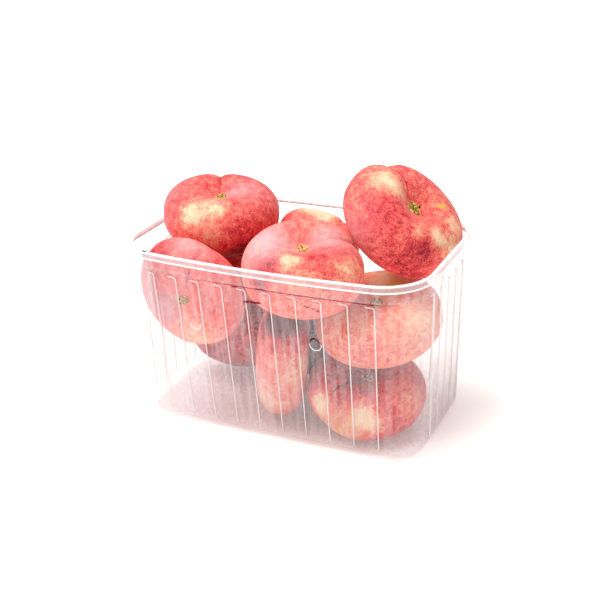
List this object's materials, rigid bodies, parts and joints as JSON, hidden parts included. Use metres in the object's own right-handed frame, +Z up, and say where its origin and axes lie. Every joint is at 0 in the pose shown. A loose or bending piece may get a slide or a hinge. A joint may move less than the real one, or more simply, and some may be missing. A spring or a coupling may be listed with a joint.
{
  "type": "punnet of flat peaches",
  "caption": "Clear ribbed plastic punnet, open at the top and rounded at its corners and base, heaped with flat doughnut-shaped peaches that rise above the rim.",
  "frame": {"origin": "middle of the punnet's underside, which is also the bottom centre of the bounding box", "axes": "+Z up out of the open top, +X along the punnet's long side, -Y the side that the picture shows in front, with the two crescent vents"},
  "size_m": [0.1872, 0.128, 0.1523],
  "materials": {
    "clear_plastic": "clear, slightly milky thermoformed sheet",
    "peach_skin": "downy fruit skin, red blush over cream yellow"
  },
  "bodies": {
    "root": {"punnet": "clear_plastic", "peach_back_left": "peach_skin", "peach_front_left": "peach_skin", "peach_front_middle": "peach_skin", "peach_back_right": "peach_skin", "peach_back_middle": "peach_skin", "peach_right": "peach_skin", "peach_bottom_right": "peach_skin", "peach_bottom_middle": "peach_skin", "peach_bottom_left": "peach_skin", "peach_left": "peach_skin", "peach_bottom_back": "peach_skin"}
  },
  "joints": []
}
